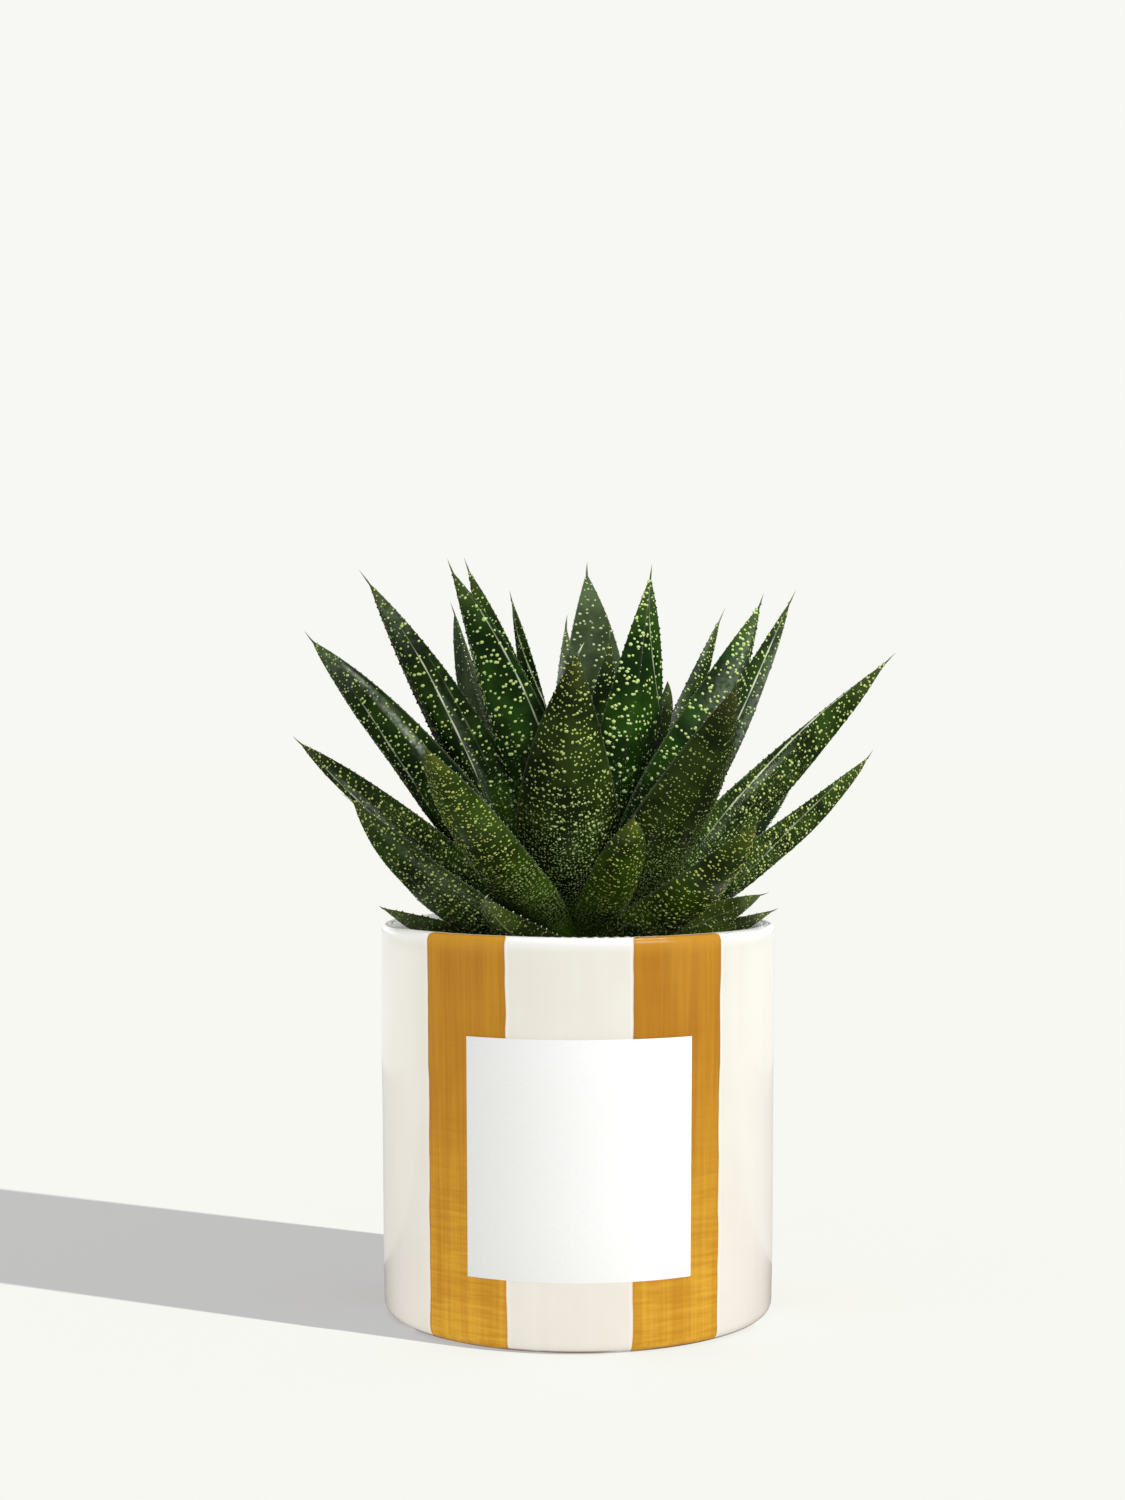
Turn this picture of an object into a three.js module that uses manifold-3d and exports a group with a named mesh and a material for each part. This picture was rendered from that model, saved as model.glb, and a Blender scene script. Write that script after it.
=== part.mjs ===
// A gasteria in its pot: a rosette of keeled, toothed and spotted leaves that grows from a short
// stem, in soil, in a straight glazed pot with a blank paper label. Millimetres, +Z up, -Y is the
// front, and the origin is the middle of the pot's flat underside.
import * as THREE from "three";
import { mergeVertices } from "three/addons/utils/BufferGeometryUtils.js";
import Module from "manifold-3d";

const wasm = await Module();
wasm.setup();

// Pot
const potHeight = 117;
const potRimRadius = 60;
const potFootRadius = 58.8;
const potHeelRadius = 3.5;
const potLipRadius = 2.2;
const potWall = 5;
const potFloor = 6;
const potSegments = 48;

// Label, as angles from the front and heights on the pot
const labelHalfAngle = 32;
const labelBottom = 20.4;
const labelTop = 88.5;
const labelThickness = 0.6;
const labelColumns = 10;

// Soil
const soilTop = 103;
const soilSegments = 34;
const soilRings = [46, 34, 21];
const crumbHeight = 0.8;

// Stem
const stemBase = 104;
const stemRadius = 9;
const stemRise = 15;
const stemSegments = 18;
const domeRows = 5;
const rootRadius = 6;
const rootDepth = 22;

// What touches keeps this gap
const gap = 0.3;

// What every leaf has in common. Depths and the base are shares of the leaf's width.
const crownHeight = 106;
const insertion = 0.8;
const leafSides = 8;
const leafRowLength = 8;
const leafBaseShare = 0.02;
const leafBaseBreadth = 0.4;
const leafBaseDepth = 0.35;
const leafKeelDepth = 0.34;
const leafChannelDepth = 0.1;
const leafToothOut = 0.5;
const leafToothIn = 0.3;
const leafWartHeight = 0.35;
const leafTipHalfWidth = 0.4;
const drawnOutTaper = 3.1;
const cutterRows = 13;

// Each leaf from the innermost out, leaf_01 first. turn is its heading in degrees, with 0 along +X
// and -90 to the front, rise is its tip's elevation from the crown and reach the distance to it.
// width is the widest breadth, bow and lean move its middle towards its upper face and towards its
// left margin as shares of its length, and roll turns its faces. A large taper makes it blunt,
// and a rounded leaf has no sharp keel.
const leaves = [
  { turn: 99, rise: 77, reach: 109, width: 13 },
  { turn: 63, rise: 77, reach: 104, width: 15 },
  { turn: 29.5, rise: 69, reach: 91, width: 20, roll: -22, taper: 9 },
  { turn: -90, rise: 69, reach: 101, width: 34.5, lean: -0.035, taper: 2.2, rounded: true },
  { turn: 135, rise: 75, reach: 118, width: 22, bow: 0.03, roll: 60 },
  { turn: 86, rise: 74, reach: 129, width: 27, lean: -0.034 },
  { turn: -30, rise: 78, reach: 122, width: 27, bow: -0.033, roll: -25, taper: 2.9 },
  { turn: -144, rise: 68, reach: 129, width: 26, bow: 0.03, lean: 0.03, roll: 20, taper: 2.7 },
  { turn: 160, rise: 73, reach: 129, width: 24, bow: 0.02, roll: 60 },
  { turn: 31, rise: 63.5, reach: 121.5, width: 20, bow: -0.02, roll: -60 },
  { turn: -20, rise: 61.8, reach: 125, width: 29, bow: -0.02, roll: -30, taper: 2.8 },
  { turn: 138, rise: 64, reach: 124, width: 26, bow: -0.02, roll: 35, taper: 5 },
  { turn: -163, rise: 60, reach: 135, width: 23.5, bow: 0.013, roll: 35 },
  { turn: 8, rise: 59, reach: 132, width: 25.5, bow: -0.031, roll: -35 },
  { turn: 92, rise: 54, reach: 100, width: 26 },
  { turn: -48, rise: 51, reach: 108, width: 29.5, lean: 0.055, roll: -8, rounded: true },
  { turn: -173, rise: 49.9, reach: 130, width: 31, bow: 0.016, roll: 25, taper: 4.6 },
  { turn: 138, rise: 50, reach: 90, width: 24 },
  { turn: 62, rise: 46, reach: 110, width: 26 },
  { turn: 118, rise: 45, reach: 110, width: 26 },
  { turn: -3, rise: 44, reach: 134, width: 24.5, bow: -0.008, roll: -30, taper: 3.2 },
  { turn: -73, rise: 40.5, reach: 70, width: 16, lean: 0.03, taper: 5, rounded: true },
  { turn: -121.5, rise: 38.4, reach: 106, width: 22, bow: 0.013, lean: -0.04, taper: 4.2, rounded: true },
  { turn: -177, rise: 37.8, reach: 110.5, width: 20.5, bow: 0.003, roll: 25, taper: 5 },
  { turn: 165, rise: 36, reach: 96.5, width: 25, bow: 0.005, roll: 20, taper: 6.5 },
  { turn: 6, rise: 34.4, reach: 112.7, width: 24.3, bow: -0.045, roll: -25, taper: 4.2 },
  { turn: -152, rise: 33.8, reach: 91.5, width: 27.5, bow: -0.067, roll: 5, taper: 4.5 },
  { turn: 82, rise: 32, reach: 98, width: 25, bow: -0.04 },
  { turn: 38, rise: 30, reach: 106, width: 24, bow: -0.04 },
  { turn: 140, rise: 29, reach: 98, width: 24, bow: -0.04 },
  { turn: 108, rise: 28, reach: 92, width: 24, bow: -0.04 },
  { turn: -50, rise: 29.5, reach: 90.5, width: 25.5, bow: -0.03, lean: 0.05, roll: -5, rounded: true },
  { turn: -122, rise: 22.4, reach: 57.3, width: 24, bow: -0.05 },
  { turn: -5, rise: 19.3, reach: 61, width: 22.5, bow: 0.02, roll: -15, taper: 5 },
  { turn: 72, rise: 18, reach: 68, width: 20 },
  { turn: 118, rise: 17, reach: 68, width: 20 },
  { turn: -172, rise: 15, reach: 63.6, width: 23, bow: -0.016, roll: 15 },
  { turn: 35, rise: 16, reach: 64, width: 19 },
  { turn: -14, rise: 14.6, reach: 64, width: 23.5, bow: -0.01, roll: -10 },
  { turn: 150, rise: 15, reach: 62, width: 19 },
];

const { degToRad, lerp, smoothstep } = THREE.MathUtils;

function finish(color, roughness) {
  return new THREE.MeshStandardMaterial({ color, roughness, metalness: 0 });
}

const glaze = finish(0xf0ece4, 0.2);
const paper = finish(0xfafafa, 0.7);
const soilFinish = finish(0x2b211a, 0.95);
const stemFinish = finish(0x5c6b34, 0.7);
const greenLeaf = finish(0x24401a, 0.4);

// A closed three.js geometry as a manifold-3d solid, and back.
function solidOf(geometry) {
  const bare = new THREE.BufferGeometry();
  bare.setAttribute("position", geometry.getAttribute("position"));
  bare.setIndex(geometry.getIndex());
  const merged = mergeVertices(bare, 1e-4);
  return new wasm.Manifold(
    new wasm.Mesh({
      numProp: 3,
      vertProperties: merged.getAttribute("position").array,
      triVerts: new Uint32Array(merged.getIndex().array),
    }),
  );
}

function geometryOf(solid) {
  const { vertProperties, triVerts } = solid.getMesh();
  const geometry = new THREE.BufferGeometry();
  geometry.setAttribute("position", new THREE.BufferAttribute(vertProperties, 3));
  geometry.setIndex(new THREE.BufferAttribute(triVerts, 1));
  geometry.computeVertexNormals();
  return geometry;
}

function named(name, geometry, material) {
  const mesh = new THREE.Mesh(geometry, material);
  mesh.name = name;
  return mesh;
}

// A solid turned round the Z axis from [radius, height] points that start and end on the axis.
function turned(points, segments) {
  const profile = points.map(([radius, height]) => new THREE.Vector2(radius, height));
  return new THREE.LatheGeometry(profile, segments).rotateX(Math.PI / 2);
}

// Points of a quarter or half round, from one angle to another in degrees.
function round(centreRadius, centreHeight, radius, from, to, steps) {
  return Array.from({ length: steps + 1 }, (_, i) => {
    const angle = degToRad(lerp(from, to, i / steps));
    return [centreRadius + radius * Math.cos(angle), centreHeight + radius * Math.sin(angle)];
  });
}

function potRadiusAt(height) {
  return lerp(potFootRadius, potRimRadius, height / potHeight);
}

function pot() {
  const lip = potRimRadius - potLipRadius;
  const inner = potRimRadius - potWall;
  return turned(
    [
      [0, 0],
      ...round(potFootRadius - potHeelRadius, potHeelRadius, potHeelRadius, -90, 0, 4),
      ...round(lip, potHeight - potLipRadius, potLipRadius, 0, 90, 3),
      ...round(inner + potLipRadius, potHeight - potLipRadius, potLipRadius, 90, 180, 3),
      [inner - 1, potFloor],
      [0, potFloor],
    ],
    potSegments,
  );
}

// A thin plate wrapped on the pot, made from a box whose length becomes the angle.
function label() {
  const height = labelTop - labelBottom;
  const plate = new THREE.BoxGeometry(2 * labelHalfAngle, labelThickness, height, labelColumns, 1, 1);
  const position = plate.getAttribute("position");
  for (let i = 0; i < position.count; i++) {
    const angle = degToRad(position.getX(i));
    const z = position.getZ(i) + (labelBottom + labelTop) / 2;
    const radius = potRadiusAt(z) + gap + labelThickness / 2 - position.getY(i);
    position.setXYZ(i, radius * Math.sin(angle), -radius * Math.cos(angle), z);
  }
  return plate;
}

// Soil with a crumbly top and a plain hole for the root.
function soil() {
  const wall = potRimRadius - potWall - gap;
  const hole = rootRadius + gap;
  const geometry = turned(
    [
      [0, potFloor + gap],
      [wall - 1.2, potFloor + gap],
      [wall - 0.3, soilTop - 1],
      ...soilRings.map((radius) => [radius, soilTop]),
      [hole, soilTop - 0.5],
      [hole, soilTop - rootDepth - gap],
      [0, soilTop - rootDepth - gap],
    ],
    soilSegments,
  );
  const position = geometry.getAttribute("position");
  for (let i = 0; i < position.count; i++) {
    const [x, y, z] = [position.getX(i), position.getY(i), position.getZ(i)];
    if (Math.abs(z - soilTop) > 0.01) continue;
    const crumb = Math.sin(1.9 * x + 0.7 * y) * Math.sin(1.3 * y - 0.9 * x + 2);
    position.setZ(i, z + crumbHeight * crumb);
  }
  return geometry;
}

// The short stem: a dome that the leaves grow from, on a plain root. It can be made larger, to cut
// the leaves with.
function stem(grow = 0) {
  const dome = Array.from({ length: domeRows + 1 }, (_, i) => {
    const angle = (Math.PI / 2) * (i / domeRows);
    const radius = i === domeRows ? 0 : (stemRadius + grow) * Math.cos(angle);
    return [radius, stemBase + (stemRise + grow) * Math.sin(angle)];
  });
  return turned(
    [
      [0, soilTop - rootDepth],
      [rootRadius + grow, soilTop - rootDepth],
      [rootRadius + grow, soilTop + 0.2],
      ...dome,
    ],
    stemSegments,
  );
}

// The leaf's middle line: a curve from inside the stem to the tip, with the directions along it,
// across it and out of its upper face.
function leafSpine({ turn, rise, reach, bow = 0, lean = 0, roll = 0 }) {
  const heading = degToRad(turn);
  const climb = degToRad(rise);
  const out = new THREE.Vector3(
    Math.cos(climb) * Math.cos(heading),
    Math.cos(climb) * Math.sin(heading),
    Math.sin(climb),
  );
  const start = out.clone().multiply(new THREE.Vector3(stemRadius, stemRadius, stemRise));
  start.multiplyScalar(insertion).setZ(start.z + stemBase);
  const tip = out.multiplyScalar(reach).setZ(out.z + crownHeight);
  const chord = tip.clone().sub(start);
  const along = chord.clone().normalize();
  const across = new THREE.Vector3(-Math.sin(heading), Math.cos(heading), 0);
  across.addScaledVector(along, -across.dot(along)).normalize();
  const upper = along.clone().cross(across);
  const middle = start.clone().addScaledVector(chord, 0.5);
  middle.addScaledVector(upper, 2 * bow * chord.length());
  middle.addScaledVector(across, 2 * lean * chord.length());
  const curve = new THREE.QuadraticBezierCurve3(start, middle, tip);
  return (t) => {
    const tangent = curve.getTangent(t);
    const side = across.clone().addScaledVector(tangent, -across.dot(tangent)).normalize();
    const twist = degToRad(roll) * smoothstep(t, 0, 0.5);
    side.applyAxisAngle(tangent, twist);
    return { point: curve.getPoint(t), along: tangent, side, face: tangent.clone().cross(side) };
  };
}

// The leaf's half breadth, keel depth, channel depth and lower face's fullness at a share t of its
// length. Both its ends are thin, and a small taper draws the tip out.
function leafForm({ width, taper = drawnOutTaper, rounded = false }, t) {
  const breadth = (1 - t ** taper) ** 0.95 * lerp(leafBaseBreadth, 1, smoothstep(t, -0.06, 0.28));
  const depth = (1 - t ** (taper - 0.5)) ** 0.9 * lerp(leafBaseDepth, 1, smoothstep(t, -0.05, 0.35));
  return {
    half: Math.max((width / 1.9) * breadth, leafTipHalfWidth),
    keel: Math.max(leafKeelDepth * width * depth, leafTipHalfWidth),
    channel: leafChannelDepth * width * depth * (1 - smoothstep(t, 0.5, 0.95)),
    fullness: lerp(2.3, rounded ? 2 : 1.3, smoothstep(t, 0.15, 0.75)),
  };
}

// A section's [across, out of the upper face] points: the two margins with the middle of the upper
// face between them, then five on the keeled lower face. Odd rows reach out as teeth, even ones
// step in, and every other point of the lower face stands up as a low wart.
function leafSection(spec, t, row) {
  const { half, keel, channel, fullness } = leafForm(spec, t);
  const tooth = row < 2 ? 0 : row % 2 ? leafToothOut : -leafToothIn;
  const lower = [0.72, 0.36, 0, -0.36, -0.72].map((u, i) => {
    const wart = row > 1 && u !== 0 && (row + i) % 2 ? leafWartHeight : 0;
    return [u * half, -keel * (1 - Math.abs(u) ** fullness) - wart];
  });
  return [[-half - tooth, 0], [0, -channel], [half + tooth, 0], ...lower];
}

// The section of a plain, slightly larger leaf, with a blunt edge in place of each margin.
function cutterSection(spec, t) {
  const { half, keel, channel, fullness } = leafForm(spec, t);
  const spare = 2 * gap;
  const wide = half + leafToothOut + spare;
  const low = leafWartHeight + 2.5 * gap;
  const upper = [[-wide, spare], [0, spare - channel], [wide, spare]];
  const lower = [0.55, 0, -0.55].map((u) => [u * wide, -keel * (1 - Math.abs(u) ** fullness) - low]);
  return [...upper, [wide, -low], ...lower, [-wide, -low]];
}

// The share of a leaf's length at which a row of points lies, counted from the tip. The last row but
// one is close to the base, which makes it blunt.
function rowShare(row, rows) {
  return row === rows ? 0 : lerp(1, leafBaseShare, row / (rows - 1));
}

// A sphere's grid of points moved on to a leaf's sections. Its poles become the leaf's two ends, a
// given length past those of the middle line.
function leafBody(spec, rows, sectionAt, pastEnds) {
  const geometry = new THREE.SphereGeometry(1, leafSides, rows);
  const position = geometry.getAttribute("position");
  const spine = leafSpine(spec);
  for (let row = 0; row <= rows; row++) {
    const t = rowShare(row, rows);
    const { point, side, face, along } = spine(t);
    const section = sectionAt(spec, t, row);
    const atEnd = row === 0 || row === rows;
    if (atEnd) point.addScaledVector(along, row === 0 ? pastEnds : -pastEnds);
    for (let column = 0; column <= leafSides; column++) {
      const [a, b] = atEnd ? [0, 0] : section[(leafSides - column) % leafSides];
      const placed = point.clone().addScaledVector(side, a).addScaledVector(face, b);
      position.setXYZ(row * (leafSides + 1) + column, placed.x, placed.y, placed.z);
    }
  }
  return geometry;
}

function leaf(spec) {
  const rows = 2 * Math.round(spec.reach / leafRowLength / 2);
  return leafBody(spec, rows, leafSection, 0);
}

// What a leaf's neighbours are cut with.
function cutter(spec) {
  const geometry = leafBody(spec, cutterRows, cutterSection, 3 * gap);
  geometry.computeBoundingBox();
  return { box: geometry.boundingBox, solid: solidOf(geometry) };
}

// The rosette: each leaf gives way to the stem and to the leaves inside it, as a leaf's base does.
function rosette() {
  const group = new THREE.Group();
  const stemCutter = solidOf(stem(gap));
  const inner = [];
  for (const [index, spec] of leaves.entries()) {
    const own = cutter(spec);
    let solid = solidOf(leaf(spec)).subtract(stemCutter);
    for (const other of inner) {
      if (other.box.intersectsBox(own.box)) solid = solid.subtract(other.solid);
    }
    const [largest] = solid.decompose().sort((a, b) => b.volume() - a.volume());
    const name = `leaf_${String(index + 1).padStart(2, "0")}`;
    group.add(named(name, geometryOf(largest), greenLeaf));
    inner.push(own);
  }
  return group;
}

const plant = new THREE.Group();
plant.add(named("stem", stem(), stemFinish), rosette());

const gasteria = new THREE.Group();
gasteria.add(
  named("pot", pot(), glaze),
  named("label", label(), paper),
  named("soil", soil(), soilFinish),
  plant,
);

export default gasteria;
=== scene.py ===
# Gasteria in a striped pot: camera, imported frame, pot, label, soil, stem, forty leaves, floor and lights.
import math
from functools import partial

import bpy
import numpy as np
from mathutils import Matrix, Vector


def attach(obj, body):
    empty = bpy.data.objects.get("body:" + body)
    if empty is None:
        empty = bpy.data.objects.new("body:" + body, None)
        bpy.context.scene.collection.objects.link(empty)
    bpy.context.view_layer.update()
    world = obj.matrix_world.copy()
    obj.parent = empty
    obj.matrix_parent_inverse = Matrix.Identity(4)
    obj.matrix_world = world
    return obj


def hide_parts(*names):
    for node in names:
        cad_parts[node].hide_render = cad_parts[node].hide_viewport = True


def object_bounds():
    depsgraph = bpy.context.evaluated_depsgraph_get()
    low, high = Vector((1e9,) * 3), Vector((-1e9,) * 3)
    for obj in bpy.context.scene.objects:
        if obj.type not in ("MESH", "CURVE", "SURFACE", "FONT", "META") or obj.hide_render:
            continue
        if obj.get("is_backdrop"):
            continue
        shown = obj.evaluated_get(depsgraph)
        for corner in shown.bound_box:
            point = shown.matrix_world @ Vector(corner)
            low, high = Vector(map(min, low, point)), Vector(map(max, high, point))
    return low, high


mm = 0.001  # the scene is in metres, the settings below in millimetres
hair = 1e-6  # metres; levels that are nearer than this are the same


# --- small helpers ---


def linear(hexColour):  # sRGB hex to the linear numbers that shaders take
    channels = [int(hexColour[i : i + 2], 16) / 255 for i in (1, 3, 5)]
    return [c / 12.92 if c <= 0.04045 else ((c + 0.055) / 1.055) ** 2.4 for c in channels] + [1.0]


def plug(node, inputs):  # values, hex colours or links, by a socket's name or its place among those in use
    used = [socket for socket in node.inputs if socket.enabled]
    for key, value in inputs.items():
        socket = used[key] if isinstance(key, int) else node.inputs[key]
        if isinstance(value, bpy.types.NodeSocket):
            node.id_data.links.new(value, socket)
        else:
            socket.default_value = linear(value) if isinstance(value, str) else value


# what these nodes have here unless a call says otherwise
usualSettings = {"Mix": {"data_type": "RGBA"}, "MapRange": {"interpolation_type": "SMOOTHSTEP"}}


def addNode(tree, kind, *inputs, **settings):  # one node with its settings and links; gives its outputs
    kind, *operation = kind.split()  # such as Math ADD
    node = tree.nodes.new("ShaderNode" + kind)
    if operation:
        node.operation = operation[0]
    for name, value in {**usualSettings.get(kind, {}), **settings}.items():
        setattr(node, name, value)
    named = inputs and isinstance(inputs[0], dict)
    plug(node, inputs[0] if named else dict(enumerate(inputs)))
    return [socket for socket in node.outputs if socket.enabled]


def newMaterial(name):  # with addNode for its tree, and its main shader
    material = bpy.data.materials.new(name)
    material.use_nodes = True
    tree = material.node_tree
    return material, partial(addNode, tree), tree.nodes["Principled BSDF"]


def pick(piece):  # object mode with only this piece selected
    if bpy.context.object and bpy.context.object.mode != "OBJECT":
        bpy.ops.object.mode_set(mode="OBJECT")
    bpy.ops.object.select_all(action="DESELECT")
    piece.select_set(True)
    bpy.context.view_layer.objects.active = piece


def editParts(piece, wanted, kind="FACE"):  # edit mode with only the wanted faces, edges or vertices selected
    pick(piece)
    bpy.ops.object.mode_set(mode="EDIT")
    bpy.ops.mesh.select_mode(type=kind)
    bpy.ops.mesh.select_all(action="DESELECT")
    bpy.ops.object.mode_set(mode="OBJECT")
    mesh = piece.data
    parts = {"FACE": mesh.polygons, "EDGE": mesh.edges, "VERT": mesh.vertices}[kind]
    for part in parts:
        ends = [mesh.vertices[i].co for i in part.vertices] if kind != "VERT" else [part.co]
        part.select = all(wanted(co) for co in ends)
    bpy.ops.object.mode_set(mode="EDIT")


def settle(piece, name):  # applies the place, so that the object sits at the origin
    pick(piece)
    bpy.ops.object.transform_apply(location=True, rotation=True, scale=True)
    piece.name = piece.data.name = name
    return piece


def applyModifier(piece, kind, **settings):
    pick(piece)
    modifier = piece.modifiers.new(kind.title(), kind)
    for name, value in settings.items():
        setattr(modifier, name, value)
    bpy.ops.object.modifier_apply(modifier=modifier.name)


def smoothShade(piece, degrees):
    pick(piece)
    bpy.ops.object.shade_smooth_by_angle(angle=math.radians(degrees))


def addCylinder(sides, radius, bottom, top, **rest):  # upright on the axis, in millimetres
    depth, middle = (top - bottom) * mm, (top + bottom) / 2 * mm
    bpy.ops.mesh.primitive_cylinder_add(
        vertices=sides, radius=radius * mm, depth=depth, location=(0, 0, middle), **rest
    )
    return bpy.context.object


def addClouds(name, size, depth):  # noise for a Displace modifier, its size in millimetres
    clouds = bpy.data.textures.new(name, "CLOUDS")
    clouds.noise_scale, clouds.noise_depth = size * mm, depth
    return clouds


def takeShape(model):  # the corners and faces of a model, which is then removed
    corners = np.array([v.co for v in model.data.vertices])
    faces = np.array([p.vertices for p in model.data.polygons])
    bpy.data.objects.remove(model)
    return corners, faces


# --- camera ---

cameraPlace = {"x": -4.7, "y": -700, "z": 169.5, "lens": 55}

bpy.ops.object.camera_add(
    location=[cameraPlace[axis] * mm for axis in "xyz"], rotation=(math.radians(90), 0, 0)
)
camera = bpy.context.object
camera.data.lens = cameraPlace["lens"]
camera.data.clip_start = 0.01
bpy.context.scene.camera = camera
bpy.context.scene.view_settings.view_transform = "Standard"

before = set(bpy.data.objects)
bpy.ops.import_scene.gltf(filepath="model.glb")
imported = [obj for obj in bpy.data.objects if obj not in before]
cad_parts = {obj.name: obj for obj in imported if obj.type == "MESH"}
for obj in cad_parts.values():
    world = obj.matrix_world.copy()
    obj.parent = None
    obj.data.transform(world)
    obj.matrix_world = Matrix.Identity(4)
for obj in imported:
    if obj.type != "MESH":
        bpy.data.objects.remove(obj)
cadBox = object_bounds()
print("frame loaded:", len(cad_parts), "nodes")


# --- pot ---

potSizes = {
    "height": 117,
    "rimRadius": 60,
    "footRadius": 58.8,
    "wall": 5,
    "floor": 6,
    "taper": 0.985,  # of the inside, from the rim to the floor
    "lip": 2.2,  # rounding of both edges of the rim
    "heel": 3.4,
    "inFloor": 4,  # rounding where the wall meets the floor inside
    "sides": 120,
    "waver": 0.35,  # the thrown wall isn't quite true
    "waverGap": 55,
    "waverFrom": 4,  # the foot below this height stays true
    "waverFully": 12,  # and this much higher up the wall wavers fully
    "ringGap": 6,
}
insideRun = 200  # what the glaze's run says on the inside, where it has no length
stripes = {
    # middle and half width, in degrees round the pot
    "places": [(-33.4, 13.1), (28.6, 13.9), (100.6, 13.5), (177.5, 13.5), (-105.5, 13.5)],
    "corner": 1.6,
    "top": 118.1,  # along the glaze's run, so a little over the lip
    "edge": 0.16,  # half the soft line between ochre and white
}


def makePot():
    s = potSizes
    pot = settle(addCylinder(s["sides"], s["rimRadius"], 0, s["height"]), "stripedPot")
    top = s["height"] * mm
    editParts(pot, lambda co: co.z > top - hair)  # hollow it from the top
    bpy.ops.mesh.inset(thickness=s["wall"] * mm)
    deep = (s["floor"] - s["height"]) * mm
    bpy.ops.mesh.extrude_region_move(TRANSFORM_OT_translate={"value": (0, 0, deep)})
    bpy.ops.transform.resize(value=(s["taper"], s["taper"], 1))
    editParts(pot, lambda co: co.z < hair)
    foot = s["footRadius"] / s["rimRadius"]
    bpy.ops.transform.resize(value=(foot, foot, 1))
    inside, floor = (s["rimRadius"] - s["wall"]) * mm, s["floor"] * mm
    roundings = (  # both edges of the lip, the heel, and round the floor inside
        (lambda co: co.z > top - hair, s["lip"], 6),
        (lambda co: co.z < hair, s["heel"], 6),
        (lambda co: abs(co.z - floor) < hair and math.hypot(co.x, co.y) < inside, s["inFloor"], 4),
    )
    for wanted, width, steps in roundings:
        editParts(pot, wanted, "EDGE")
        bpy.ops.mesh.bevel(offset=width * mm, segments=steps, profile=0.5)
    for height in np.arange(8, s["height"] - 4, s["ringGap"]):  # level rings, so that the wall can waver
        bpy.ops.mesh.select_all(action="SELECT")
        bpy.ops.mesh.bisect(plane_co=(0, 0, height * mm), plane_no=(0, 0, 1))
    bpy.ops.object.mode_set(mode="OBJECT")
    group = pot.vertex_groups.new(name="wall")
    for vertex in pot.data.vertices:
        upper = max(0.0, min(1.0, (vertex.co.z / mm - s["waverFrom"]) / s["waverFully"]))
        group.add([vertex.index], upper, "REPLACE")
    clouds = {"texture": addClouds("handThrown", s["waverGap"], 1), "texture_coords": "LOCAL"}
    applyModifier(pot, "DISPLACE", **clouds, vertex_group="wall", strength=2 * s["waver"] * mm, mid_level=0.5)
    low, high = s["height"] - s["lip"], s["rimRadius"] - s["lip"]
    run = pot.data.attributes.new("glazeRun", "FLOAT", "POINT")  # millimetres up the outside and over the lip
    for vertex in pot.data.vertices:
        radius, z = math.hypot(vertex.co.x, vertex.co.y) / mm, vertex.co.z / mm
        over = s["lip"] * math.atan2(z - low, radius - high) if z > low else 0
        outside = radius > s["rimRadius"] - s["wall"] / 2 or z < s["waverFrom"]
        run.data[vertex.index].value = min(z, low) + over if outside else insideRun
    smoothShade(pot, 40)
    return pot


glazeLook = {
    "thick": ("#b57412", "#cf8e16"),  # the ochre where it is thick, high up and near the foot
    "thin": ("#cf9222", "#f0b638"),
    # the ochre over the lip, lighter as a painted highlight along the rim
    "overLipHighlight": "#d99c2c",
    "pooled": "#a86b14",  # along the inside of a band's outline
    "white": ("#f8f0e7", "#f1eee4"),  # creamier near the foot, cooler near the lip
    "wiped": "#e3dccb",
    # the lip's white: thicker glaze, lighter still as a painted highlight along the rim
    "lip": "#fbfaf6",
    "halo": "#fbf9f3",  # along the outside of a band's outline
    "clay": "#9c6e5c",
    "liner": ("#ffffff", "#f8f7f2"),
    # how fine each noise is, and its detail: the bands' sway, fine and broad streaks, cross strokes
    "strokes": [((30, 30, 55), 2.0), ((1250, 1250, 22), 3.0), ((260, 260, 9), 2.0), ((70, 70, 900), 3.0)],
    "shares": (0.4, 0.35, 0.25, 0.6),  # of fine streaks, broad ones, patches and cross strokes
    "sway": 1.6,  # millimetres
    "gloss": 0.3,
}


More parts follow.
